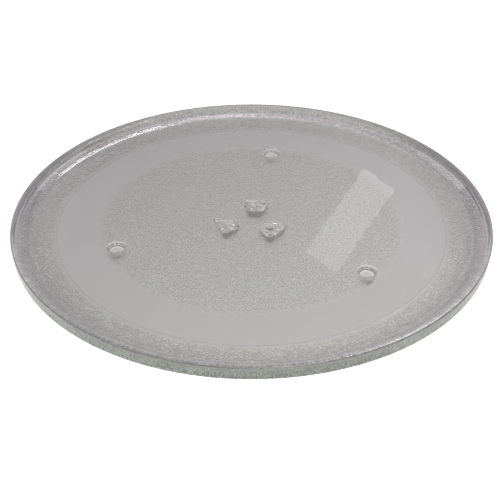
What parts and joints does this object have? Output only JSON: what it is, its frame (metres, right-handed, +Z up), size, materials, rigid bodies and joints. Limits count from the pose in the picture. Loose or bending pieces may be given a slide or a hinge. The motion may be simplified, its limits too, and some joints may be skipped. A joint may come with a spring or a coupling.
{
  "type": "microwave turntable plate",
  "caption": "Round clear pressed-glass plate with a raised rim, stippled underside, smooth roller track, feet and drive lugs, which a microwave oven turns to rotate food.",
  "frame": {"origin": "on the plate's axis, in the plane of the three foot tips on which it stands", "axes": "+Z up along the axis of rotation, out of the dish; +Y through one foot and one drive lug"},
  "size_m": [0.3449, 0.345, 0.021],
  "materials": {
    "glass": "clear pressed soda-lime glass with a faint green tint, smooth on top, finely stippled underneath"
  },
  "bodies": {
    "root": {"turntable_plate": "glass"}
  },
  "joints": []
}
